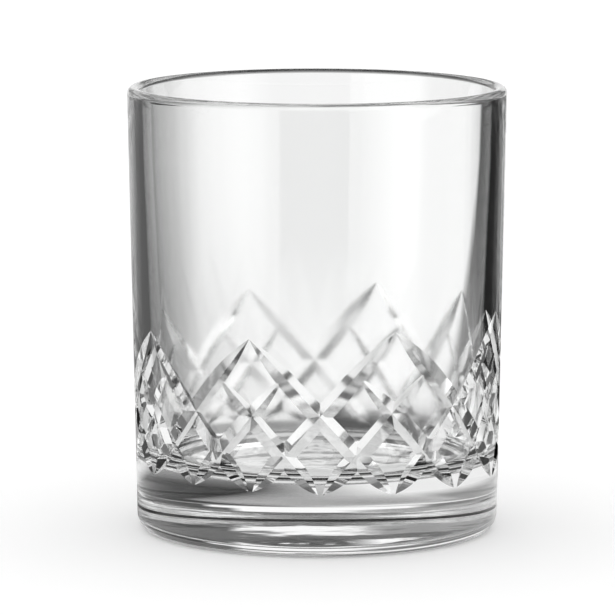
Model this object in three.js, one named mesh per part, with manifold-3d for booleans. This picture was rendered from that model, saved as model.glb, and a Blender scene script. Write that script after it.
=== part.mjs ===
// A rocks glass: one piece of clear pressed glass with a heavy base, a slightly flared wall,
// a rounded rim and a band of crossed V cuts that stands in eight peaks round the lower half.
// Sizes are in millimetres and angles in degrees. +Z is up, and the foot stands on z = 0.

import * as THREE from 'three';
import { mergeVertices } from 'three/addons/utils/BufferGeometryUtils.js';
import Module from 'manifold-3d';

// Outside of the glass
const HEIGHT = 94;
const RIM_DIAMETER = 80;
const FOOT_DIAMETER = 76.4;
const HEEL_RADIUS = 3.2;

// Underside: a flat ring that touches the table, round a shallow domed hollow
const FOOT_RING_WIDTH = 4.2;
const HOLLOW_DEPTH = 1.2;

// Inside of the glass
const RIM_WALL = 2.8;
const BASE_WALL = 4.2;
const FLOOR_THICKNESS = 14.6;
const FLOOR_FILLET = 5;

// Band of cuts: right-leaning and left-leaning grooves that cross in diamonds
const PEAK_COUNT = 8;
const PEAK_HEIGHT = 46.2;
const POINT_HEIGHT = 12.9;
const DIAMONDS_HIGH = 2;
const BAND_TURN = 3.3;

// Drift of the hand that cut the band: taller on the right, and crowded at the front left and back right
const SWAY = 0.08;
const SWAY_HEIGHT = 23.7;
const SWING = -2.4;

// One cut: a V groove that a wheel enters slowly and leaves in a short run-out
const GROOVE_DEPTH = 1.12;
const GROOVE_ANGLE = 120;
const ENTRY_RUN = 14;
const EXIT_RUN = 7;
const POINT_GAP = 0.9;
const CUTTER_SKIM = 0.25;

// Fineness of the faceted surface
const SIDES = 64;
const RIM_STEPS = 8;
const CORNER_STEPS = 5;
const HOLLOW_STEPS = 4;
const GROOVE_STEPS = 8;

const GLASS_COLOUR = 0xf4f7f6;
const GLASS_ROUGHNESS = 0.03;
const GLASS_OPACITY = 0.35;

const rimRadius = RIM_DIAMETER / 2;
const footRadius = FOOT_DIAMETER / 2;
const beadRadius = RIM_WALL / 2;
const wallTop = HEIGHT - beadRadius;

const wasm = await Module();
wasm.setup();

// Radius of the straight outer wall at a height.
function outerRadius(z) {
  return THREE.MathUtils.mapLinear(z, HEEL_RADIUS, wallTop, footRadius, rimRadius);
}

// Radius of the straight inner wall at a height.
function innerRadius(z) {
  const floorRadius = outerRadius(FLOOR_THICKNESS) - BASE_WALL;
  return THREE.MathUtils.mapLinear(z, FLOOR_THICKNESS, wallTop, floorRadius, rimRadius - RIM_WALL);
}

// Points of an arc, from one angle to another, as profile points of radius and height.
function arc(centreRadius, centreHeight, radius, fromDegrees, toDegrees, steps) {
  return Array.from({ length: steps + 1 }, (_, step) => {
    const angle = THREE.MathUtils.degToRad(THREE.MathUtils.lerp(fromDegrees, toDegrees, step / steps));
    const outward = radius * Math.cos(angle);
    const upward = radius * Math.sin(angle);
    return new THREE.Vector2(centreRadius + outward, centreHeight + upward);
  });
}

// Half section of the glass, from the middle of the underside round the rim to the middle of the floor.
function bodyProfile() {
  const ringOuter = footRadius - HEEL_RADIUS;
  const ringInner = ringOuter - FOOT_RING_WIDTH;
  const domeRadius = (ringInner ** 2 + HOLLOW_DEPTH ** 2) / (2 * HOLLOW_DEPTH);
  const domeAngle = THREE.MathUtils.radToDeg(Math.acos(ringInner / domeRadius));
  const filletTop = FLOOR_THICKNESS + FLOOR_FILLET;
  const filletCentre = innerRadius(filletTop) - FLOOR_FILLET;
  return [
    ...arc(0, HOLLOW_DEPTH - domeRadius, domeRadius, 90, domeAngle, HOLLOW_STEPS),
    ...arc(ringOuter, HEEL_RADIUS, HEEL_RADIUS, -90, 0, CORNER_STEPS),
    ...arc(rimRadius - beadRadius, wallTop, beadRadius, 0, 180, RIM_STEPS),
    ...arc(filletCentre, filletTop, FLOOR_FILLET, 0, -90, CORNER_STEPS),
    new THREE.Vector2(0, FLOOR_THICKNESS),
  ];
}

// Closed solid from a geometry whose faces point outwards.
function solidFrom(geometry) {
  geometry.deleteAttribute('normal');
  geometry.deleteAttribute('uv');
  const merged = mergeVertices(geometry);
  const corners = merged.index.array;
  const kept = [];
  for (let i = 0; i < corners.length; i += 3) {
    const [a, b, c] = corners.slice(i, i + 3);
    if (a !== b && b !== c && c !== a) kept.push(a, b, c);
  }
  return new wasm.Manifold(new wasm.Mesh({
    numProp: 3,
    vertProperties: new Float32Array(merged.attributes.position.array),
    triVerts: new Uint32Array(kept),
  }));
}

// The glass before it is cut.
function blankSolid() {
  const lathe = new THREE.LatheGeometry(bodyProfile(), SIDES);
  lathe.rotateX(Math.PI / 2);
  return solidFrom(lathe);
}

// Angle between two neighbouring cuts that lean the same way, and the drop of the band in one diamond.
const cutPitch = Math.PI / PEAK_COUNT;
const diamondDrop = (PEAK_HEIGHT - POINT_HEIGHT) / DIAMONDS_HIGH;
const diamondArc = cutPitch * outerRadius((PEAK_HEIGHT + POINT_HEIGHT) / 2);
const diamondRun = Math.hypot(diamondArc, diamondDrop);
const grooveSlope = Math.tan(THREE.MathUtils.degToRad(GROOVE_ANGLE / 2));
const bandTurn = THREE.MathUtils.degToRad(BAND_TURN);
const bandSwing = THREE.MathUtils.degToRad(SWING);

// Cutter of one groove, which starts at a peak or half a diamond lower and leans right or left.
function grooveCutter(startAngle, startDiamonds, lean) {
  const startHeight = PEAK_HEIGHT - startDiamonds * diamondDrop;
  const diamondsCut = DIAMONDS_HIGH - startDiamonds - POINT_GAP / 2 / diamondArc;
  const cutLength = diamondsCut * diamondRun;
  const overrun = Math.sqrt(1 + CUTTER_SKIM / GROOVE_DEPTH) - 1;
  const firstRun = -ENTRY_RUN * overrun;
  const lastRun = cutLength + EXIT_RUN * overrun;
  const section = new THREE.Shape([
    new THREE.Vector2(0, 0),
    new THREE.Vector2(1, 1),
    new THREE.Vector2(-1, 1),
  ]);
  const prism = new THREE.ExtrudeGeometry(section, { depth: 1, steps: GROOVE_STEPS, bevelEnabled: false });
  const spots = prism.attributes.position;
  for (let i = 0; i < spots.count; i += 1) {
    const run = THREE.MathUtils.lerp(firstRun, lastRun, spots.getZ(i));
    const entry = Math.max(0, 1 - run / ENTRY_RUN);
    const exit = Math.max(0, 1 - (cutLength - run) / EXIT_RUN);
    const depth = GROOVE_DEPTH * (1 - entry * entry - exit * exit);
    const lift = spots.getY(i) * (depth + 2 * CUTTER_SKIM) - depth;
    const across = spots.getX(i) * (depth + 2 * CUTTER_SKIM) * grooveSlope;
    const drop = (run * diamondDrop - lean * across * diamondArc) / diamondRun;
    const sweep = (lean * run * diamondArc + across * diamondDrop) / diamondRun;
    const even = startAngle + (sweep * cutPitch) / diamondArc;
    const away = even - bandTurn;
    const angle = even + bandSwing * Math.cos(2 * away);
    const z = SWAY_HEIGHT + (startHeight - drop - SWAY_HEIGHT) * (1 + SWAY * Math.sin(away));
    const radius = outerRadius(z) + lift;
    spots.setXYZ(i, radius * Math.sin(angle), -radius * Math.cos(angle), z);
  }
  return solidFrom(prism);
}

// All the cuts of the band, joined.
function bandCutter() {
  const cutters = [];
  for (let peak = 0; peak < PEAK_COUNT; peak += 1) {
    const peakAngle = bandTurn + (2 * peak + 1) * cutPitch;
    for (const lean of [1, -1]) {
      cutters.push(grooveCutter(peakAngle, 0, lean));
      cutters.push(grooveCutter(peakAngle - lean * cutPitch / 2, 1 / 2, lean));
    }
  }
  return cutters.reduce((joined, cutter) => joined.add(cutter));
}

// Mesh of a finished solid.
function meshOf(solid, name, material) {
  const { vertProperties, triVerts } = solid.getMesh();
  const geometry = new THREE.BufferGeometry();
  geometry.setAttribute('position', new THREE.BufferAttribute(vertProperties, 3));
  geometry.setIndex(new THREE.BufferAttribute(triVerts, 1));
  const mesh = new THREE.Mesh(geometry, material);
  mesh.name = name;
  return mesh;
}

const clearGlass = new THREE.MeshStandardMaterial({
  color: GLASS_COLOUR,
  roughness: GLASS_ROUGHNESS,
  metalness: 0,
  transparent: true,
  opacity: GLASS_OPACITY,
});

const rocksGlass = new THREE.Group();
rocksGlass.add(meshOf(blankSolid().subtract(bandCutter()), 'tumbler', clearGlass));

export default rocksGlass;
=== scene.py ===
"""Rocks glass: one clear tumbler with a heavy base and a band of crossed V cuts, in a white studio."""
import logging
import math
from dataclasses import dataclass, field
from enum import Enum

import bpy
import numpy as np
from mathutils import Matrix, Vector


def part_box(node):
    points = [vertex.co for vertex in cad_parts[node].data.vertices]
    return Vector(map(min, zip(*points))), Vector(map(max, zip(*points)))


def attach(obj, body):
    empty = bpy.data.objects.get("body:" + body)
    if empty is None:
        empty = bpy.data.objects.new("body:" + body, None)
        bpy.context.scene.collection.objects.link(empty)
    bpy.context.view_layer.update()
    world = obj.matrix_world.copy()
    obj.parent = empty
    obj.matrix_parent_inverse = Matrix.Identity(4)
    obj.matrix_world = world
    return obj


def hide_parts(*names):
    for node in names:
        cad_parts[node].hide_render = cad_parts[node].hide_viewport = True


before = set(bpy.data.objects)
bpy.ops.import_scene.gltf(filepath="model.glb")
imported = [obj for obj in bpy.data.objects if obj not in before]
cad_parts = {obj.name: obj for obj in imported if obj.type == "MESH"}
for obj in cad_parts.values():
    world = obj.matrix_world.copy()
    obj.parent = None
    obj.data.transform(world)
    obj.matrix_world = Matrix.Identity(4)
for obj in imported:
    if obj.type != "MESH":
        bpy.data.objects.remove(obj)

LOG = logging.getLogger("rocks_glass")
MM = 0.001
TINY = 1e-6
CAD_NODE = "tumbler"
BODY = "root"
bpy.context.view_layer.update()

# A point of the half section, as radius and height
Point = tuple[float, float]


class Lean(Enum):
    """Which way a cut leans on its way down, seen from outside."""

    RIGHT = 1.0
    LEFT = -1.0


class Start(Enum):
    """Where a cut starts, in diamonds below the peaks."""

    PEAK = 0.0
    CROSSING = 0.5


class Value:
    """A number that a node tree works out, with the usual sums written as operators."""

    def __init__(self, tree: bpy.types.NodeTree, socket: bpy.types.NodeSocket) -> None:
        """Keeps the tree and the socket that gives the number."""
        self.tree = tree
        self.socket = socket

    def _math(self, operation: str, *others: "Value | float") -> "Value":
        """Adds a Math node.

        Args:
            operation: name of the sum.
            others: the numbers that follow this one in the sum.

        Returns:
            The result of the sum.
        """
        node = self.tree.nodes.new("ShaderNodeMath")
        node.operation = operation
        for place, item in enumerate((self, *others)):
            if isinstance(item, Value):
                self.tree.links.new(item.socket, node.inputs[place])
            else:
                node.inputs[place].default_value = item
        return Value(self.tree, node.outputs[0])

    def __add__(self, other: "Value | float") -> "Value":
        """Sum of two numbers."""
        return self._math("ADD", other)

    def __sub__(self, other: "Value | float") -> "Value":
        """Difference of two numbers."""
        return self._math("SUBTRACT", other)

    def __rsub__(self, other: float) -> "Value":
        """Difference of a plain number and this one."""
        return self._math("MULTIPLY", -1.0) + other

    def __mul__(self, other: "Value | float") -> "Value":
        """Product of two numbers."""
        return self._math("MULTIPLY", other)

    def __truediv__(self, other: "Value | float") -> "Value":
        """Quotient of two numbers."""
        return self._math("DIVIDE", other)

    def at_least(self, other: "Value | float") -> "Value":
        """The larger of two numbers."""
        return self._math("MAXIMUM", other)

    def at_most(self, other: "Value | float") -> "Value":
        """The smaller of two numbers."""
        return self._math("MINIMUM", other)

    def clamped(self) -> "Value":
        """The number kept between 0 and 1."""
        return self.at_least(0.0).at_most(1.0)

    def size(self) -> "Value":
        """The number without its sign."""
        return self._math("ABSOLUTE")

    def sine(self) -> "Value":
        """Sine of an angle in radians."""
        return self._math("SINE")

    def cosine(self) -> "Value":
        """Cosine of an angle in radians."""
        return self._math("COSINE")

    def root(self) -> "Value":
        """Square root of a number."""
        return self._math("SQRT")

    def floor(self) -> "Value":
        """Whole part of a number."""
        return self._math("FLOOR")

    def modulo(self, other: "Value | float") -> "Value":
        """Rest of a division."""
        return self._math("MODULO", other)

    def angle_from(self, other: "Value") -> "Value":
        """Angle whose sine and cosine go with this number and the other."""
        return self._math("ARCTAN2", other)


class Wiring:
    """Adds nodes to a tree and joins them."""

    def __init__(self, tree: bpy.types.NodeTree) -> None:
        """Keeps the tree."""
        self.tree = tree
        self.entry: bpy.types.Node | None = None
        self.exit: bpy.types.Node | None = None

    def take(self, name: str, kind: str = "NodeSocketFloat") -> bpy.types.NodeSocket:
        """Adds a named input to the group.

        Args:
            name: the input's name.
            kind: the type of its socket.

        Returns:
            The socket that gives the input inside the group.
        """
        self.tree.interface.new_socket(name, in_out="INPUT", socket_type=kind)
        if self.entry is None:
            self.entry = self.add("NodeGroupInput")
        return self.entry.outputs[name]

    def give(self, name: str, source: bpy.types.NodeSocket, kind: str) -> None:
        """Adds a named output to the group and joins it to its source.

        Args:
            name: the output's name.
            source: the socket that gives the output.
            kind: the type of its socket.
        """
        self.tree.interface.new_socket(name, in_out="OUTPUT", socket_type=kind)
        if self.exit is None:
            self.exit = self.add("NodeGroupOutput")
        self.join(source, self.exit.inputs[name])

    def add(self, kind: str, **settings: object) -> bpy.types.Node:
        """Adds a node.

        Args:
            kind: the node's type name.
            settings: properties of the node.

        Returns:
            The new node.
        """
        node = self.tree.nodes.new(kind)
        for name, setting in settings.items():
            setattr(node, name, setting)
        return node

    def join(self, source: bpy.types.NodeSocket, target: bpy.types.NodeSocket) -> None:
        """Joins an output to an input."""
        self.tree.links.new(source, target)

    def value(self, socket: bpy.types.NodeSocket) -> Value:
        """Takes a socket as a number for sums."""
        return Value(self.tree, socket)

    def vector(self, x: Value, y: Value, z: Value) -> bpy.types.NodeSocket:
        """Makes a vector.

        Args:
            x: first number.
            y: second number.
            z: third number.

        Returns:
            The socket that gives the vector.
        """
        node = self.add("ShaderNodeCombineXYZ")
        for place, item in enumerate((x, y, z)):
            self.join(item.socket, node.inputs[place])
        return node.outputs[0]

    def parts(self, socket: bpy.types.NodeSocket) -> tuple[Value, Value, Value]:
        """Splits a vector.

        Args:
            socket: the socket that gives the vector.

        Returns:
            The three numbers.
        """
        node = self.add("ShaderNodeSeparateXYZ")
        self.join(socket, node.inputs[0])
        return tuple(self.value(out) for out in node.outputs)


@dataclass
class CutBand:
    """The band of crossed V cuts round the lower half of the glass, with the drift of hand cutting."""

    peaks: int = 8
    peak_height: float = 46.2 * MM
    point_height: float = 12.9 * MM
    diamonds_high: int = 2
    turn: float = math.radians(3.3)
    sway: float = 0.08
    sway_height: float = 23.7 * MM
    swing: float = math.radians(-2.4)
    depth: float = 1.12 * MM
    angle: float = math.radians(120)
    entry_run: float = 14 * MM
    exit_run: float = 7 * MM
    point_gap: float = 0.9 * MM
    skim: float = 0.25 * MM
    steps: int = 56

    @property
    def pitch(self) -> float:
        """Angle between neighbouring cuts that lean the same way."""
        return math.pi / self.peaks

    @property
    def drop(self) -> float:
        """Height of one diamond."""
        return (self.peak_height - self.point_height) / self.diamonds_high

    @property
    def slope(self) -> float:
        """Half width of a groove over its depth."""
        return math.tan(self.angle / 2)


@dataclass
class Tumbler:
    """The glass itself: a lathed body with the band of cuts taken out of its wall."""

    height: float
    rim_radius: float
    foot_radius: float = 38.2 * MM
    heel_radius: float = 3.2 * MM
    ring_width: float = 4.2 * MM
    hollow_depth: float = 1.2 * MM
    rim_wall: float = 2.8 * MM
    base_wall: float = 4.2 * MM
    floor_thickness: float = 14.6 * MM
    floor_fillet: float = 5 * MM
    band_margin: float = 2 * MM
    weld: float = TINY
    sides: int = 256
    arc_steps: int = 14
    rim_steps: int = 22
    flat_steps: int = 6
    ring_steps: int = 2
    band: CutBand = field(default_factory=CutBand)

    @property
    def bead(self) -> float:
        """Radius of the rounded rim."""
        return self.rim_wall / 2

    @property
    def wall_top(self) -> float:
        """Height where the straight wall ends and the rim starts."""
        return self.height - self.bead

    @property
    def flare(self) -> float:
        """Growth of the outer radius with height."""
        return (self.rim_radius - self.foot_radius) / (self.wall_top - self.heel_radius)

    def outer(self, z: float) -> float:
        """Radius of the outer wall at a height."""
        return self.foot_radius + self.flare * (z - self.heel_radius)

    @property
    def inner_flare(self) -> float:
        """Growth of the inner radius with height."""
        floor_radius = self.outer(self.floor_thickness) - self.base_wall
        return (self.rim_radius - self.rim_wall - floor_radius) / (self.wall_top - self.floor_thickness)

    def inner(self, z: float) -> float:
        """Radius of the inner wall at a height."""
        return self.rim_radius - self.rim_wall - self.inner_flare * (self.wall_top - z)

    @property
    def diamond_arc(self) -> float:
        """Width of half a diamond, measured round the wall at mid band."""
        return self.band.pitch * self.outer((self.band.peak_height + self.band.point_height) / 2)

    @property
    def diamond_run(self) -> float:
        """Length of a cut along the side of one diamond."""
        return math.hypot(self.diamond_arc, self.band.drop)

    def cut_length(self, start: Start) -> float:
        """Length of a cut that starts at a given place."""
        diamonds = self.band.diamonds_high - start.value - self.band.point_gap / 2 / self.diamond_arc
        return diamonds * self.diamond_run

    @staticmethod
    def arc(centre: Point, radius: float, start: float, end: float, steps: int) -> list[Point]:
        """Points of an arc in the half section.

        Args:
            centre: radius and height of the arc's centre.
            radius: radius of the arc.
            start: first angle in radians.
            end: last angle in radians.
            steps: number of steps.

        Returns:
            Points as pairs of radius and height.
        """
        angles = np.linspace(start, end, steps + 1)
        return [(centre[0] + radius * math.cos(a), centre[1] + radius * math.sin(a)) for a in angles]

    @staticmethod
    def between(first: Point, last: Point, steps: int) -> list[Point]:
        """Points between two points of the half section, without the two themselves."""
        shares = np.linspace(0, 1, steps + 1)[1:-1]
        return [tuple((1 - s) * a + s * b for a, b in zip(first, last)) for s in shares]

    def profile(self) -> list[Point]:
        """Half section, from the middle of the underside round the rim to the middle of the floor.

        Returns:
            The points in order.
        """
        quarter = math.pi / 2
        ring_outer = self.foot_radius - self.heel_radius
        ring_inner = ring_outer - self.ring_width
        dome = (ring_inner ** 2 + self.hollow_depth ** 2) / (2 * self.hollow_depth)
        dome_angle = math.acos(ring_inner / dome)
        tilt = math.atan(self.flare)
        inner_tilt = math.atan(self.inner_flare)
        fillet_top = self.floor_thickness + self.floor_fillet
        fillet_centre = (self.inner(fillet_top) - self.floor_fillet, fillet_top)
        underside = self.arc((0, self.hollow_depth - dome), dome, quarter, dome_angle, self.arc_steps)
        underside[0] = (0.0, self.hollow_depth)
        heel = self.arc((ring_outer, self.heel_radius), self.heel_radius, -quarter, -tilt, self.arc_steps)
        rim_centre = (self.rim_radius - self.bead, self.wall_top)
        rim = self.arc(rim_centre, self.bead, -tilt, 2 * quarter - inner_tilt, self.rim_steps)
        fillet = self.arc(fillet_centre, self.floor_fillet, -inner_tilt, -quarter, self.arc_steps)
        low = self.band.point_height - self.band_margin
        high = self.band.peak_height + self.band_margin
        wall = [(self.outer(low), low), (self.outer(high), high)]
        middle = (0.0, self.floor_thickness)
        return [
            *underside,
            *self.between(underside[-1], heel[0], self.ring_steps),
            *heel,
            *wall,
            *self.between(wall[-1], rim[0], self.flat_steps),
            *rim,
            *self.between(rim[-1], fillet[0], self.flat_steps),
            *fillet,
            *self.between(fillet[-1], middle, self.flat_steps),
            middle,
        ]


class CuttingTree:
    """Geometry nodes that turn the half section into the blank and take the cuts out of it."""

    CUTTER_SIZES = (
        "Start Angle", "Start Height", "Length", "Lean", "Depth", "Slope", "Entry Run", "Exit Run", "Skim",
        "Drop", "Arc", "Run", "Pitch", "Foot Radius", "Heel Radius", "Flare",
    )
    PRISM_SIDES = 3
    PRISM_DEPTH = 1.0

    def __init__(self, weld: float) -> None:
        """Makes the two trees."""
        self.weld = weld
        self.cutter = self._cutter_tree()
        self.tree = bpy.data.node_groups.new("cut_tumbler", "GeometryNodeTree")
        self.wiring = Wiring(self.tree)
        self._build()

    def _cutter_tree(self) -> bpy.types.NodeTree:
        """Wires up a prism with a V section, bent along the wall on the run of one cut.

        Returns:
            The tree.
        """
        tree = bpy.data.node_groups.new("groove_cutter", "GeometryNodeTree")
        w = Wiring(tree)
        steps = w.take("Steps", "NodeSocketInt")
        (
            start_angle, start_height, length, lean, depth, slope, entry_run, exit_run, skim,
            drop, arc, diamond_run, pitch, foot, heel, flare,
        ) = (w.value(w.take(name)) for name in self.CUTTER_SIZES)
        prism = w.add("GeometryNodeMeshCylinder", fill_type="NGON")
        prism.inputs["Vertices"].default_value = self.PRISM_SIDES
        prism.inputs["Radius"].default_value = 1.0
        prism.inputs["Depth"].default_value = self.PRISM_DEPTH
        w.join(steps, prism.inputs["Side Segments"])
        x, y, z = w.parts(w.add("GeometryNodeInputPosition").outputs[0])
        corner = math.pi / self.PRISM_SIDES
        up = (1.0 - x) / (1.0 + math.cos(corner))
        side = y / math.sin(corner)
        overrun = (skim / depth + 1.0).root() - 1.0
        first = entry_run * overrun * -1.0
        last = length + exit_run * overrun
        run = first + (z + self.PRISM_DEPTH / 2) * (last - first)
        entry = (1.0 - run / entry_run).at_least(0.0)
        leave = (1.0 - (length - run) / exit_run).at_least(0.0)
        deep = depth * (1.0 - entry * entry - leave * leave)
        reach = deep + skim * 2.0
        lift = up * reach - deep
        across = side * reach * slope
        fall = (run * drop - lean * across * arc) / diamond_run
        sweep = (lean * run * arc + across * drop) / diamond_run
        height = start_height - fall
        angle = start_angle + sweep * pitch / arc
        radius = foot + (height - heel) * flare + lift
        place = w.add("GeometryNodeSetPosition")
        w.join(prism.outputs["Mesh"], place.inputs["Geometry"])
        spot = w.vector(radius * angle.sine(), radius * angle.cosine() * -1.0, height)
        w.join(spot, place.inputs["Position"])
        w.give("Cutter", place.outputs["Geometry"], "NodeSocketGeometry")
        return tree

    def _blank(self, profile: bpy.types.NodeSocket, sides: Value) -> bpy.types.NodeSocket:
        """Lathes the half section.

        Args:
            profile: geometry whose points are the half section.
            sides: number of steps round the axis.

        Returns:
            The closed blank.
        """
        w = self.wiring
        count = w.add("GeometryNodeAttributeDomainSize")
        w.join(profile, count.inputs["Geometry"])
        points = w.value(count.outputs["Point Count"])
        grid = w.add("GeometryNodeMeshGrid")
        w.join((sides + 1.0).socket, grid.inputs["Vertices X"])
        w.join(points.socket, grid.inputs["Vertices Y"])
        index = w.value(w.add("GeometryNodeInputIndex").outputs[0])
        sample = w.add("GeometryNodeSampleIndex", data_type="FLOAT_VECTOR", domain="POINT")
        w.join(profile, sample.inputs["Geometry"])
        w.join(w.add("GeometryNodeInputPosition").outputs[0], sample.inputs["Value"])
        w.join(index.modulo(points).socket, sample.inputs["Index"])
        radius, _, height = w.parts(sample.outputs["Value"])
        angle = (index / points).floor() * (2 * math.pi) / sides
        place = w.add("GeometryNodeSetPosition")
        w.join(grid.outputs["Mesh"], place.inputs["Geometry"])
        spot = w.vector(radius * angle.sine(), radius * angle.cosine() * -1.0, height)
        w.join(spot, place.inputs["Position"])
        weld = w.add("GeometryNodeMergeByDistance")
        weld.inputs["Distance"].default_value = self.weld
        w.join(place.outputs["Geometry"], weld.inputs["Geometry"])
        return weld.outputs["Geometry"]

    def _build(self) -> None:
        """Wires up the blank, the four kinds of cut, and the cutting itself."""
        w = self.wiring
        profile = w.take("Profile", "NodeSocketGeometry")
        sides = w.value(w.take("Sides", "NodeSocketInt"))
        peaks = w.value(w.take("Peaks", "NodeSocketInt"))
        steps = w.take("Cut Steps", "NodeSocketInt")
        names = (
            "Peak Height", "Point Height", "Diamonds High", "Turn", "Depth", "Slope", "Entry Run", "Exit Run",
            "Point Gap", "Skim", "Foot Radius", "Heel Radius", "Flare", "Sway", "Sway Height", "Swing",
        )
        size = {name: w.value(w.take(name)) for name in names}
        finish = w.take("Glass", "NodeSocketMaterial")
        pitch = w.value(self._number(math.pi)) / peaks
        drop = (size["Peak Height"] - size["Point Height"]) / size["Diamonds High"]
        middle = (size["Peak Height"] + size["Point Height"]) / 2.0
        arc = pitch * (size["Foot Radius"] + (middle - size["Heel Radius"]) * size["Flare"])
        run = (arc * arc + drop * drop).root()
        shared = {"Drop": drop, "Arc": arc, "Run": run, "Pitch": pitch}
        turn = self._turn(pitch)
        cuts = w.add("GeometryNodeJoinGeometry")
        for start in Start:
            height = size["Peak Height"] - drop * start.value
            length = (size["Diamonds High"] - start.value - size["Point Gap"] / 2.0 / arc) * run
            for lean in Lean:
                angle = size["Turn"] + pitch * (1.0 - lean.value * start.value)
                own = {"Start Angle": angle, "Start Height": height, "Length": length}
                cutter = w.add("GeometryNodeGroup", node_tree=self.cutter)
                w.join(steps, cutter.inputs["Steps"])
                cutter.inputs["Lean"].default_value = lean.value
                for name, item in {**size, **shared, **own}.items():
                    if name in self.CUTTER_SIZES:
                        w.join(item.socket, cutter.inputs[name])
                round_glass = w.add("GeometryNodeInstanceOnPoints")
                spots = w.add("GeometryNodePoints")
                w.join(peaks.socket, spots.inputs["Count"])
                w.join(spots.outputs["Points"], round_glass.inputs["Points"])
                w.join(cutter.outputs["Cutter"], round_glass.inputs["Instance"])
                w.join(turn, round_glass.inputs["Rotation"])
                w.join(round_glass.outputs["Instances"], cuts.inputs["Geometry"])
        cutting = w.add("GeometryNodeMeshBoolean", operation="DIFFERENCE", solver="MANIFOLD")
        w.join(self._blank(profile, sides), cutting.inputs["Mesh 1"])
        w.join(self._drift(cuts.outputs["Geometry"], size), cutting.inputs["Mesh 2"])
        smooth = w.add("GeometryNodeSetShadeSmooth")
        w.join(cutting.outputs["Mesh"], smooth.inputs["Geometry"])
        real = w.add("GeometryNodeRealizeInstances")
        w.join(smooth.outputs["Geometry"], real.inputs["Geometry"])
        coat = w.add("GeometryNodeSetMaterial")
        w.join(real.outputs["Geometry"], coat.inputs["Geometry"])
        w.join(finish, coat.inputs["Material"])
        w.give("Glass", coat.outputs["Geometry"], "NodeSocketGeometry")

    def _drift(self, cuts: bpy.types.NodeSocket, size: dict[str, Value]) -> bpy.types.NodeSocket:
        """Moves the cutters off the even lattice by the drift of hand cutting.

        Args:
            cuts: instances of the cutters on the even lattice.
            size: the sizes of the band and the wall.

        Returns:
            The cutters in their true places, each as an instance of its own.
        """
        w = self.wiring
        real = w.add("GeometryNodeRealizeInstances")
        w.join(cuts, real.inputs["Geometry"])
        x, y, z = w.parts(w.add("GeometryNodeInputPosition").outputs[0])
        even = x.angle_from(y * -1.0)
        away = even - size["Turn"]
        height = size["Sway Height"] + (z - size["Sway Height"]) * (away.sine() * size["Sway"] + 1.0)
        angle = even + (away * 2.0).cosine() * size["Swing"]
        radius = (x * x + y * y).root() + (height - z) * size["Flare"]
        place = w.add("GeometryNodeSetPosition")
        w.join(real.outputs["Geometry"], place.inputs["Geometry"])
        spot = w.vector(radius * angle.sine(), radius * angle.cosine() * -1.0, height)
        w.join(spot, place.inputs["Position"])
        split = w.add("GeometryNodeSplitToInstances", domain="FACE")
        w.join(place.outputs["Geometry"], split.inputs["Geometry"])
        island = w.add("GeometryNodeInputMeshIsland")
        w.join(island.outputs["Island Index"], split.inputs["Group ID"])
        return split.outputs["Instances"]

    def _number(self, number: float) -> bpy.types.NodeSocket:
        """Adds a plain number.

        Args:
            number: the number.

        Returns:
            The socket that gives it.
        """
        node = self.wiring.add("ShaderNodeValue")
        node.outputs[0].default_value = number
        return node.outputs[0]

    def _turn(self, pitch: Value) -> bpy.types.NodeSocket:
        """Turns the cuts of each peak to their place about the axis.

        Args:
            pitch: angle between neighbouring cuts.

        Returns:
            The socket that gives the rotation.
        """
        w = self.wiring
        index = w.value(w.add("GeometryNodeInputIndex").outputs[0])
        still = w.value(self._number(0.0))
        euler = w.add("FunctionNodeEulerToRotation")
        w.join(w.vector(still, still, index * pitch * 2.0), euler.inputs[0])
        return euler.outputs[0]

    def run(self, body: bpy.types.Object, sizes: dict[str, object]) -> bpy.types.Mesh:
        """Runs the tree on an object.

        Args:
            body: object whose mesh is the half section.
            sizes: the tree's inputs by name.

        Returns:
            The finished plain mesh.
        """
        modifier = body.modifiers.new("cut", "NODES")
        modifier.node_group = self.tree
        for item in self.tree.interface.items_tree:
            if item.in_out == "INPUT" and item.name in sizes:
                modifier[item.identifier] = sizes[item.name]
        bpy.context.view_layer.update()
        graph = bpy.context.evaluated_depsgraph_get()
        made = bpy.data.meshes.new_from_object(body.evaluated_get(graph), depsgraph=graph)
        body.modifiers.remove(modifier)
        return made


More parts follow.
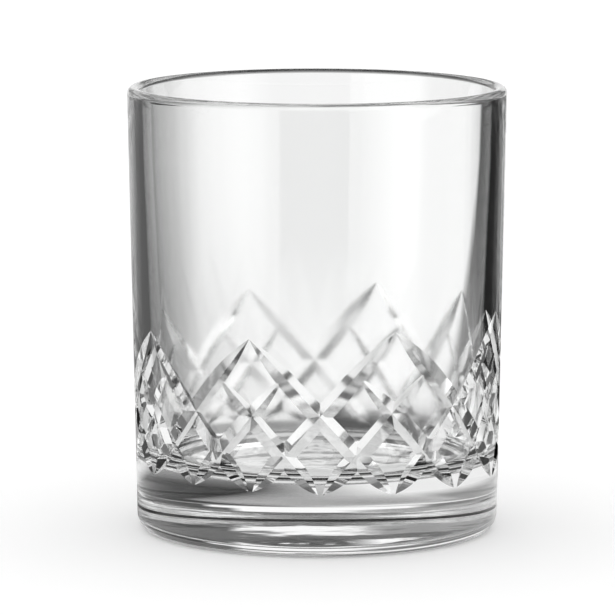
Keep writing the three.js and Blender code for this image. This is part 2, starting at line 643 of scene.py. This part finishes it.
@dataclass
class CutShading:
    """True normals of the wall and of the cuts, and the place of each cut face along its groove."""

    tumbler: Tumbler
    facet_tilt: float = math.radians(12)
    wall_share: float = 0.5
    passes: int = 6

    @staticmethod
    def read(items: bpy.types.bpy_prop_collection, name: str, width: int) -> np.ndarray:
        """Reads one property of all the items of a mesh.

        Args:
            items: vertices, corners or faces of the mesh.
            name: the property's name.
            width: how many numbers the property has.

        Returns:
            The numbers, one row for each item.
        """
        numbers = np.empty(len(items) * width)
        items.foreach_get(name, numbers)
        return numbers.reshape(-1, width)

    def grooves(self) -> np.ndarray:
        """Lists the cuts.

        Returns:
            Start angle, start height, length and lean of every cut.
        """
        band = self.tumbler.band
        rows = []
        for peak in range(band.peaks):
            for start in Start:
                for lean in Lean:
                    angle = band.turn + (2 * peak + 1 - lean.value * start.value) * band.pitch
                    height = band.peak_height - start.value * band.drop
                    rows.append((angle, height, self.tumbler.cut_length(start), lean.value))
        return np.array(rows)

    def even(self, angle: np.ndarray, z: np.ndarray) -> tuple[np.ndarray, np.ndarray]:
        """Places on the even lattice of points on the drifted one.

        Args:
            angle: angles of the points about the axis.
            z: heights of the points.

        Returns:
            The angles and heights on the even lattice.
        """
        band = self.tumbler.band
        even = angle
        for _ in range(self.passes):
            even = angle - band.swing * np.cos(2 * (even - band.turn))
        grow = 1 + band.sway * np.sin(even - band.turn)
        return even, band.sway_height + (z - band.sway_height) / grow

    def along(
        self, groove: np.ndarray, even: np.ndarray, level: np.ndarray,
    ) -> tuple[np.ndarray, np.ndarray]:
        """Run along a groove and distance across it.

        Args:
            groove: rows of start angle, start height, length and lean.
            even: angles of the points on the even lattice.
            level: heights of the points on the even lattice.

        Returns:
            The run and the distance across, with a sign.
        """
        t = self.tumbler
        lean = groove[..., 3]
        turn = (even - groove[..., 0] + math.pi) % (2 * math.pi) - math.pi
        sweep = turn * t.diamond_arc / t.band.pitch
        fall = groove[..., 1] - level
        run = (lean * sweep * t.diamond_arc + fall * t.band.drop) / t.diamond_run
        across = (sweep * t.band.drop - lean * fall * t.diamond_arc) / t.diamond_run
        return run, across

    def depth(self, groove: np.ndarray, run: np.ndarray) -> tuple[np.ndarray, np.ndarray]:
        """Depth of a groove.

        Args:
            groove: rows of start angle, start height, length and lean.
            run: places along the groove.

        Returns:
            The depth at each place, and how fast it changes.
        """
        band = self.tumbler.band
        entry = np.maximum(0, 1 - run / band.entry_run)
        leave = np.maximum(0, 1 - (groove[..., 2] - run) / band.exit_run)
        deep = band.depth * (1 - entry ** 2 - leave ** 2)
        change = band.depth * (2 * entry / band.entry_run - 2 * leave / band.exit_run)
        return deep, change

    def finish(self, mesh: bpy.types.Mesh) -> None:
        """Sets the normals, the groove coordinates and the region masks of the cut glass.

        Args:
            mesh: mesh of the cut glass.
        """
        t = self.tumbler
        corners = len(mesh.loops)
        vertex = self.read(mesh.loops, "vertex_index", 1)[:, 0].astype(int)
        spots = self.read(mesh.vertices, "co", 3)[vertex]
        totals = self.read(mesh.polygons, "loop_total", 1)[:, 0].astype(int)
        normals = self.read(mesh.polygons, "normal", 3)
        centres = self.read(mesh.polygons, "center", 3)
        angle = np.arctan2(centres[:, 0], -centres[:, 1])
        radius = np.hypot(centres[:, 0], centres[:, 1])
        wall = self.wall_normals(angle)
        facing = np.einsum("ij,ij->i", normals, wall)
        limit = t.outer(centres[:, 2]) - 2 * t.band.depth
        outside = (radius > limit) & (centres[:, 2] > t.heel_radius) & (centres[:, 2] < t.wall_top)
        outside &= facing > self.wall_share
        facet = outside & (facing < math.cos(self.facet_tilt))
        grooves = self.grooves()
        even, level = self.even(angle, centres[:, 2])
        run, across = self.along(grooves[None], even[:, None], level[:, None])
        deep, _ = self.depth(grooves[None], run)
        past = (run < -t.band.entry_run) | (run > grooves[None, :, 2] + t.band.exit_run)
        surface = np.where(past, 1.0, np.abs(across) / t.band.slope - deep)
        nearest = surface.argmin(1)
        own = grooves[nearest]
        side = np.sign(np.take_along_axis(across, nearest[:, None], 1)[:, 0])
        face = np.repeat(np.arange(len(mesh.polygons)), totals)
        corner_angle = np.arctan2(spots[:, 0], -spots[:, 1])
        true = np.zeros((corners, 3))
        plain = (outside & ~facet)[face]
        true[plain] = self.wall_normals(corner_angle[plain])
        cut = facet[face]
        place = np.zeros((corners, 2), dtype=np.float32)
        true[cut], place[cut] = self.facet_normals(own[face[cut]], side[face[cut]], spots[cut])
        mesh.normals_split_custom_set(true.tolist())
        wheel = mesh.uv_layers.new(name="wheel")
        wheel.data.foreach_set("uv", place.ravel())
        inner = (centres[:, 2] > t.floor_thickness - t.weld) & (radius < t.inner(centres[:, 2]) + t.weld)
        under = (centres[:, 2] < t.hollow_depth) & (radius < t.foot_radius - t.heel_radius)
        for name, region in (("cut", facet), ("inside", inner), ("underside", under)):
            mask = mesh.attributes.new(name, "FLOAT", "FACE")
            mask.data.foreach_set("value", region.astype(np.float32))
        LOG.info("cut faces %d of %d", int(facet.sum()), len(mesh.polygons))

    def wall_normals(self, angle: np.ndarray) -> np.ndarray:
        """Normals of the outer wall.

        Args:
            angle: angles about the axis.

        Returns:
            The normal at each angle.
        """
        tilt = math.atan(self.tumbler.flare)
        flat = math.cos(tilt)
        upward = np.full_like(angle, -math.sin(tilt))
        return np.stack([flat * np.sin(angle), -flat * np.cos(angle), upward], -1)

    def facet_normals(
        self, groove: np.ndarray, side: np.ndarray, spots: np.ndarray,
    ) -> tuple[np.ndarray, np.ndarray]:
        """Normals of the two flanks of the grooves.

        Args:
            groove: the groove of each point.
            side: the flank of each point, by sign.
            spots: the points.

        Returns:
            The normals, and the run and distance across of each point.
        """
        t = self.tumbler
        band = t.band
        angle = np.arctan2(spots[:, 0], -spots[:, 1])
        radius = np.hypot(spots[:, 0], spots[:, 1])
        even, level = self.even(angle, spots[:, 2])
        run, across = self.along(groove, even, level)
        _, change = self.depth(groove, run)
        lean = groove[:, 3]
        flank = side / band.slope
        away = even - band.turn
        grow = 1 + band.sway * np.sin(away)
        even_turn = 1 / (1 - 2 * band.swing * np.sin(2 * away))
        sweep_turn = even_turn * t.diamond_arc / band.pitch
        level_turn = (band.sway_height - level) * band.sway * np.cos(away) / grow * even_turn
        run_turn = lean * t.diamond_arc * sweep_turn - band.drop * level_turn
        across_turn = band.drop * sweep_turn + lean * t.diamond_arc * level_turn
        round_axis = (change * run_turn - flank * across_turn) / t.diamond_run / radius
        rise = (change * band.drop + flank * lean * t.diamond_arc) / t.diamond_run / grow
        upward = -t.flare - rise
        out = np.stack([np.sin(angle), -np.cos(angle), np.zeros_like(angle)], -1)
        round_way = np.stack([np.cos(angle), np.sin(angle), np.zeros_like(angle)], -1)
        normal = out + round_axis[:, None] * round_way
        normal[:, 2] += upward
        normal /= np.linalg.norm(normal, axis=1)[:, None]
        return normal, np.stack([across, run], -1)


@dataclass
class GlassSurface:
    """Shader group for the small unevenness of pressed and cut glass.

    Scales are waves per metre along x, y and z. The haze lies on the inside between two heights and fades
    towards the sides.
    """

    flute_scale: tuple[float, float, float] = (160.0, 160.0, 9.0)
    flute_detail: float = 2.0
    swell_scale: tuple[float, float, float] = (55.0, 55.0, 55.0)
    swell_detail: float = 3.0
    grain_scale: tuple[float, float, float] = (900.0, 900.0, 900.0)
    grain_detail: float = 1.0
    grain_share: float = 0.6
    underside_share: float = 0.6
    cut_roughness: float = 0.01
    haze_bottom: float = 21 * MM
    haze_top: float = 62 * MM
    haze_fade: float = 8 * MM
    haze_side: float = 33 * MM
    side_fade: float = 9 * MM

    def __post_init__(self) -> None:
        """Makes the group."""
        self.tree = bpy.data.node_groups.new("glass_surface", "ShaderNodeTree")
        self.wiring = Wiring(self.tree)
        self._build()

    def _noise(self, scale: tuple[float, float, float], detail: float) -> Value:
        """Noise about zero over the object, with its own scale along each axis.

        Args:
            scale: waves per metre along x, y and z.
            detail: number of finer layers.

        Returns:
            The noise, from about -0.5 to 0.5.
        """
        w = self.wiring
        coords = w.add("ShaderNodeTexCoord")
        place = w.add("ShaderNodeMapping")
        place.inputs["Scale"].default_value = scale
        noise = w.add("ShaderNodeTexNoise")
        noise.inputs["Scale"].default_value = 1.0
        noise.inputs["Detail"].default_value = detail
        w.join(coords.outputs["Object"], place.inputs["Vector"])
        w.join(place.outputs["Vector"], noise.inputs["Vector"])
        return w.value(noise.outputs["Fac"]) - 0.5

    def _build(self) -> None:
        """Wires up the roughness and the height."""
        w = self.wiring
        inside = w.value(w.take("Inside"))
        underside = w.value(w.take("Underside"))
        cut = w.value(w.take("Cut"))
        haze = w.value(w.take("Haze"))
        streak = w.value(w.take("Streak"))
        ripple = w.value(w.take("Ripple"))
        flutes = self._noise(self.flute_scale, self.flute_detail)
        swell = self._noise(self.swell_scale, self.swell_detail)
        grain = self._noise(self.grain_scale, self.grain_detail)
        x, _, z = w.parts(w.add("ShaderNodeTexCoord").outputs["Object"])
        above = ((z - self.haze_bottom) / self.haze_fade).clamped()
        below = ((self.haze_top - z) / self.haze_fade).clamped()
        middle = ((self.haze_side - x.size()) / self.side_fade).clamped()
        hazy = inside * haze * above * below * middle * (grain * self.grain_share + 1.0)
        rough = hazy + underside * haze * self.underside_share + cut * self.cut_roughness
        height = inside * flutes * streak + underside * swell * ripple
        w.give("Roughness", rough.socket, "NodeSocketFloat")
        w.give("Height", height.socket, "NodeSocketFloat")


@dataclass(frozen=True)
class ClearGlass:
    """Colourless polished glass, a little uneven inside and underneath where the mould shaped it."""

    name: str = "clear_glass"
    colour: tuple[float, float, float] = (0.995, 0.998, 0.996)
    refraction: float = 1.52
    haze: float = 0.11
    streak: float = 0.02 * MM
    ripple: float = 0.6 * MM

    def build(self) -> bpy.types.Material:
        """Makes the material.

        Returns:
            The material.
        """
        material = bpy.data.materials.new(self.name)
        material.use_nodes = True
        w = Wiring(material.node_tree)
        shader = material.node_tree.nodes["Principled BSDF"]
        shader.inputs["Base Color"].default_value = (*self.colour, 1.0)
        shader.inputs["IOR"].default_value = self.refraction
        shader.inputs["Transmission Weight"].default_value = 1.0
        surface = w.add("ShaderNodeGroup", node_tree=GlassSurface().tree)
        for name in ("Inside", "Underside", "Cut"):
            mask = w.add("ShaderNodeAttribute", attribute_name=name.lower())
            w.join(mask.outputs["Fac"], surface.inputs[name])
        surface.inputs["Haze"].default_value = self.haze
        surface.inputs["Streak"].default_value = self.streak
        surface.inputs["Ripple"].default_value = self.ripple
        bump = w.add("ShaderNodeBump")
        bump.inputs["Distance"].default_value = 1.0
        w.join(surface.outputs["Height"], bump.inputs["Height"])
        w.join(surface.outputs["Roughness"], shader.inputs["Roughness"])
        w.join(bump.outputs["Normal"], shader.inputs["Normal"])
        return material


class Shows(Enum):
    """The side from which a card can be seen."""

    BOTH = "both"
    TOP = "top"
    UNDER = "under"


@dataclass(frozen=True)
class Glow:
    """An even tone that takes no light, fading out to nothing where the card's cover fades."""

    name: str
    level: float
    shows: Shows = Shows.BOTH
    cover: str = "cover"

    def build(self) -> bpy.types.Material:
        """Makes the material.

        Returns:
            The material.
        """
        material = bpy.data.materials.new(self.name)
        material.use_nodes = True
        material.node_tree.nodes.clear()
        w = Wiring(material.node_tree)
        light = w.add("ShaderNodeEmission")
        light.inputs["Color"].default_value = (self.level, self.level, self.level, 1.0)
        clear = w.add("ShaderNodeBsdfTransparent")
        cover = w.add("ShaderNodeAttribute", attribute_name=self.cover)
        mix = w.add("ShaderNodeMixShader")
        share = w.value(cover.outputs["Fac"])
        if self.shows is not Shows.BOTH:
            under = w.value(w.add("ShaderNodeNewGeometry").outputs["Backfacing"])
            share = share * (under if self.shows is Shows.UNDER else 1.0 - under)
        w.join(share.socket, mix.inputs[0])
        w.join(clear.outputs[0], mix.inputs[1])
        w.join(light.outputs[0], mix.inputs[2])
        w.join(mix.outputs[0], w.add("ShaderNodeOutputMaterial").inputs["Surface"])
        return material


class Lie(Enum):
    """How a card lies: level or nearly so, or standing as part of a dome."""

    FLAT = "flat"
    DOME = "dome"


@dataclass
class Card:
    """A plain card near the glass that shows only in the glass itself.

    Angles run from straight behind the glass to the right, in degrees. The reach of a flat card is its
    distance from the axis in millimetres, and that of a dome card its angle above the floor. The level is
    the card's tone, and 1 is white. The fades are the lengths over which the card thins out at its two ends.
    A flat card lies at a lift above the floor. One that leans falls away to the back, so that it lies in the
    line of sight and is seen edge on. A dome card lies on a dome of a given radius.
    """

    name: str
    lie: Lie
    turn: tuple[float, float]
    reach: tuple[float, float]
    level: float
    turn_fade: tuple[float, float] = (1.0, 1.0)
    reach_fade: tuple[float, float] = (0.0, 0.0)
    lift: float = 0.2 * MM
    lean: float = 0.0
    shows: Shows = Shows.BOTH
    dome: float = 1.4
    columns: int = 48
    rows: int = 24

    @staticmethod
    def fade(values: np.ndarray, ends: tuple[float, float], fades: tuple[float, float]) -> np.ndarray:
        """Share of cover along one way of the card.

        Args:
            values: places along the way.
            ends: where the card starts and ends.
            fades: lengths over which the cover fades at the two ends.

        Returns:
            The cover at each place, from 0 to 1.
        """
        rise = (values - ends[0]) / max(fades[0], TINY)
        fall = (ends[1] - values) / max(fades[1], TINY)
        bare = np.minimum(np.where(fades[0] > 0, rise, 1.0), np.where(fades[1] > 0, fall, 1.0))
        return np.clip(bare, 0.0, 1.0)

    def build(self) -> bpy.types.Object:
        """Makes the card and hides it from everything but the glass.

        Returns:
            The card.
        """
        turns = np.linspace(*self.turn, self.columns + 1)
        reaches = np.linspace(*self.reach, self.rows + 1)
        turn, reach = np.meshgrid(np.radians(turns), reaches, indexing="ij")
        if self.lie is Lie.FLAT:
            out = reach * MM
            up = self.lift - (out * np.cos(turn) - self.reach[0] * MM) * math.tan(self.lean)
        else:
            out = self.dome * np.cos(np.radians(reach))
            up = self.dome * np.sin(np.radians(reach))
        spots = np.stack([out * np.sin(turn), out * np.cos(turn), up], -1).reshape(-1, 3)
        step = self.rows + 1
        faces = []
        for column in range(self.columns):
            for row in range(self.rows):
                corner = column * step + row
                faces.append((corner, corner + step, corner + step + 1, corner + 1))
        cover = np.outer(
            self.fade(turns, self.turn, self.turn_fade),
            self.fade(reaches, self.reach, self.reach_fade),
        )
        mesh = bpy.data.meshes.new(self.name)
        mesh.from_pydata(spots.tolist(), [], faces)
        share = mesh.attributes.new("cover", "FLOAT", "POINT")
        share.data.foreach_set("value", cover.ravel().astype(np.float32))
        mesh.materials.append(Glow(self.name, self.level, self.shows).build())
        card = bpy.data.objects.new(self.name, mesh)
        bpy.context.scene.collection.objects.link(card)
        card.visible_camera = False
        card.visible_diffuse = False
        card.visible_shadow = False
        return card


# The columns: name, lie, turn, reach, level, fades of the turn, fades of the reach
CARDS = (
    # Ceiling
    Card("dim_ceiling", Lie.DOME, (-180, 180), (26, 60), 0.55, (0, 0), (2, 2), dome=1.9),
    Card("dark_ceiling", Lie.DOME, (-180, 180), (58, 90), 0.05, (0, 0), (6, 0), dome=1.85),
    # White boxes at the two sides, and their light on the floor
    Card("right_box", Lie.DOME, (75, 150), (0, 60), 1.4, (2, 2), (0, 4), dome=1.7),
    Card("left_box", Lie.DOME, (-150, -75), (0, 60), 1.28, (2, 2), (0, 4), dome=1.7),
    Card("right_pool", Lie.FLAT, (75, 150), (120, 1600), 1.4, (2, 2), (20, 20)),
    Card("left_pool", Lie.FLAT, (-150, -75), (120, 1600), 1.28, (2, 2), (20, 20)),
    # Dark room in front, which shows as the grey reflection
    Card("front_flat", Lie.FLAT, (127, 203), (260, 1600), 0.05, (24, 1.5), (60, 0), lift=0.3 * MM),
    Card("front_dome", Lie.DOME, (127, 203), (0, 40), 0.38, (24, 1.5), (0, 4), dome=1.6),
    # Dark backdrop above the line of sight
    Card("back_dome", Lie.DOME, (-14, 66), (14, 28), 0.06, (8, 10), (3, 4), dome=1.6),
    Card("back_left", Lie.DOME, (-66, -8), (4, 17), 0.28, (10, 8), (3, 2), dome=1.62),
    Card("back_right", Lie.DOME, (16, 66), (3, 18), 0.05, (4, 10), (3, 3), dome=1.64),
    # Dark cards behind at the two sides, which draw the edges of the glass
    Card("right_flat", Lie.FLAT, (16.5, 71), (120, 1100), 0.017, (2, 10), (30, 40), lift=0.4 * MM),
    Card("right_dome", Lie.DOME, (24, 71), (0, 16), 0.017, (4, 10), (0, 3), dome=1.5),
    Card("left_flat", Lie.FLAT, (-107, -2.5), (120, 1100), 0.1, (10, 26), (30, 40), lift=0.4 * MM),
    Card("left_dome", Lie.DOME, (-107, -20), (0, 16), 0.15, (10, 8), (0, 3), dome=1.5),
    # Floor close to the glass and under it, which shows in the base and the cuts. Behind the glass these
    # cards are painted shadow: the glass's own shadow on the floor, darkest to the right and next to the
    # foot, and nearly white further out on the left
    Card("near_middle", Lie.FLAT, (-60, 60), (88, 150), 0.45, (15, 15), (8, 50), lift=0.5 * MM),
    Card("near_left", Lie.FLAT, (-100, 2), (39.5, 92), 0.85, (10, 6), (0, 6), lift=0.55 * MM),
    Card("near_foot", Lie.FLAT, (-100, 1), (39.5, 66), 0.25, (10, 6), (0, 9), lift=0.58 * MM),
    Card("near_right", Lie.FLAT, (-3, 45), (39.5, 130), 0.0, (6, 15), (0, 60), lift=0.6 * MM),
    # Painted light: lighter cards laid over the shaded floor under the foot and over the contact shadow round
    # the heel
    Card("under_foot", Lie.FLAT, (-180, 180), (0, 27), 0.75, (0, 0), (0, 0), lift=0.1 * MM),
    Card("under_heel", Lie.FLAT, (-180, 180), (35.6, 39.4), 0.6, (0, 0), (0, 0), lift=0.04 * MM),
    # Sheets that show from one side only: behind the rim, and low round the base
    Card("back_sheet", Lie.FLAT, (-75, 75), (43, 100), 0.02, (12, 12), (0, 50), lift=82.6 * MM,
         lean=math.radians(8.4), shows=Shows.TOP),
    Card("low_lid", Lie.FLAT, (-80, 80), (38, 66), 0.1, (10, 10), (0, 12), lift=10.4 * MM,
         shows=Shows.UNDER),
    Card("left_lid", Lie.FLAT, (-80, -1.5), (50, 120), 0.3, (10, 2), (6, 40), lift=10.2 * MM,
         shows=Shows.UNDER),
)


@dataclass
class Studio:
    """White floor, white surround, cards that draw the edges of the glass, and the camera."""

    floor_radius: float = 3.0
    floor_sides: int = 96
    floor_colour: float = 0.98
    floor_lift: float = 0.1
    surround: float = 1.0
    bounces: int = 40
    distance: float = 1050 * MM
    elevation: float = math.radians(8.104)
    focal_pixels: float = 4961.0
    frame_pixels: float = 615.0
    sensor: float = 36.0
    near_clip: float = 10 * MM
    aim: tuple[float, float, float] = (-2.042 * MM, 0.0, 46.84 * MM)

    def floor(self) -> None:
        """Lays the floor, which the camera sees a little lighter than it is."""
        bpy.ops.mesh.primitive_circle_add(
            vertices=self.floor_sides, radius=self.floor_radius, fill_type="NGON",
        )
        floor = bpy.context.object
        floor.name = "floor"
        material = bpy.data.materials.new("floor")
        material.use_nodes = True
        shader = material.node_tree.nodes["Principled BSDF"]
        shader.inputs["Base Color"].default_value = (self.floor_colour,) * 3 + (1.0,)
        shader.inputs["Roughness"].default_value = 1.0
        shader.inputs["Specular IOR Level"].default_value = 0.0
        shader.inputs["Emission Color"].default_value = (1.0, 1.0, 1.0, 1.0)
        w = Wiring(material.node_tree)
        seen = w.value(w.add("ShaderNodeLightPath").outputs["Is Camera Ray"])
        w.join((seen * self.floor_lift).socket, shader.inputs["Emission Strength"])
        floor.data.materials.append(material)

    def light(self) -> None:
        """Sets the white surround and lets light pass through all the walls of the glass."""
        scene = bpy.context.scene
        world = bpy.data.worlds.new("surround")
        world.use_nodes = True
        back = world.node_tree.nodes["Background"]
        back.inputs["Color"].default_value = (1.0, 1.0, 1.0, 1.0)
        back.inputs["Strength"].default_value = self.surround
        scene.world = world
        scene.view_settings.view_transform = "Standard"
        scene.cycles.max_bounces = self.bounces
        scene.cycles.transmission_bounces = self.bounces
        scene.cycles.glossy_bounces = self.bounces

    def camera(self) -> None:
        """Sets the camera at the photo's viewing angle."""
        data = bpy.data.cameras.new("camera")
        data.sensor_width = self.sensor
        data.lens = self.focal_pixels / self.frame_pixels * self.sensor
        data.clip_start = self.near_clip
        camera = bpy.data.objects.new("camera", data)
        bpy.context.scene.collection.objects.link(camera)
        spot = Vector((
            0.0,
            -self.distance * math.cos(self.elevation),
            self.aim[2] + self.distance * math.sin(self.elevation),
        ))
        look = Vector(self.aim) - spot
        camera.location = spot
        camera.rotation_euler = look.to_track_quat("-Z", "Y").to_euler()
        bpy.context.scene.camera = camera

    def cards(self) -> None:
        """Places the cards."""
        for card in CARDS:
            card.build()

    def build(self) -> None:
        """Builds the whole studio."""
        self.floor()
        self.light()
        self.cards()
        self.camera()


def build_tumbler() -> bpy.types.Object:
    """Builds the glass inside the box of its CAD node.

    Returns:
        The finished glass.
    """
    low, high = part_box(CAD_NODE)
    tumbler = Tumbler(height=high[2] - low[2], rim_radius=(high[0] - low[0]) / 2)
    band = tumbler.band
    outline = bpy.data.meshes.new("half_section")
    points = tumbler.profile()
    edges = [(i, i + 1) for i in range(len(points) - 1)]
    outline.from_pydata([(r, 0.0, z) for r, z in points], edges, [])
    piece = bpy.data.objects.new("cut_tumbler", outline)
    bpy.context.scene.collection.objects.link(piece)
    glass = ClearGlass().build()
    mesh = CuttingTree(tumbler.weld).run(piece, {
        "Sides": tumbler.sides, "Peaks": band.peaks, "Cut Steps": band.steps,
        "Peak Height": band.peak_height, "Point Height": band.point_height,
        "Diamonds High": float(band.diamonds_high), "Turn": band.turn, "Depth": band.depth,
        "Slope": band.slope, "Entry Run": band.entry_run, "Exit Run": band.exit_run,
        "Point Gap": band.point_gap, "Skim": band.skim, "Foot Radius": tumbler.foot_radius,
        "Heel Radius": tumbler.heel_radius, "Flare": tumbler.flare, "Glass": glass,
        "Sway": band.sway, "Sway Height": band.sway_height, "Swing": band.swing,
    })
    piece.data = mesh
    CutShading(tumbler).finish(mesh)
    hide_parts(CAD_NODE)
    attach(piece, BODY)
    LOG.info("glass: %d faces", len(mesh.polygons))
    return piece


def main() -> None:
    """Builds the glass and the studio, and logs the face counts."""
    logging.basicConfig(level=logging.INFO, format="%(message)s")
    build_tumbler()
    Studio().build()


if __name__ == "__main__":
    main()
